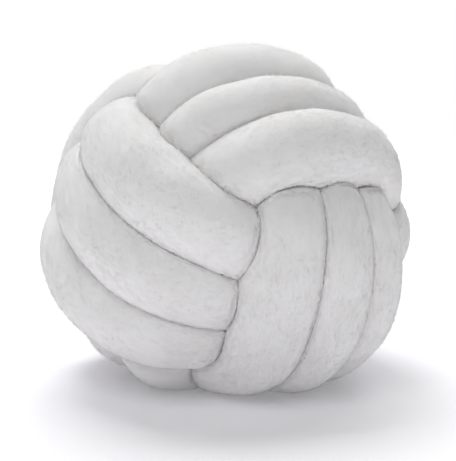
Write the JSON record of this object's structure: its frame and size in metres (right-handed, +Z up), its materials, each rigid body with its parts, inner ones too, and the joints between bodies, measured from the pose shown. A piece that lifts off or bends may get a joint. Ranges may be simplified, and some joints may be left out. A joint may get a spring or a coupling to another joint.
{
  "type": "knot cushion",
  "caption": "Round knot cushion: a long stuffed boucle tube knotted into a ball, strands side by side over and under, resting on a small flat spot.",
  "frame": {"origin": "bottom centre of the ball's bounding box, on the surface that it rests on", "axes": "+Z up; -Y is the side seen in front; +X to the right of that side"},
  "size_m": [0.28, 0.2744, 0.2542],
  "materials": {
    "boucle": "off-white boucle (teddy) fabric with a short curly nap, matt"
  },
  "bodies": {
    "root": {"knot_tube": "boucle"}
  },
  "joints": []
}
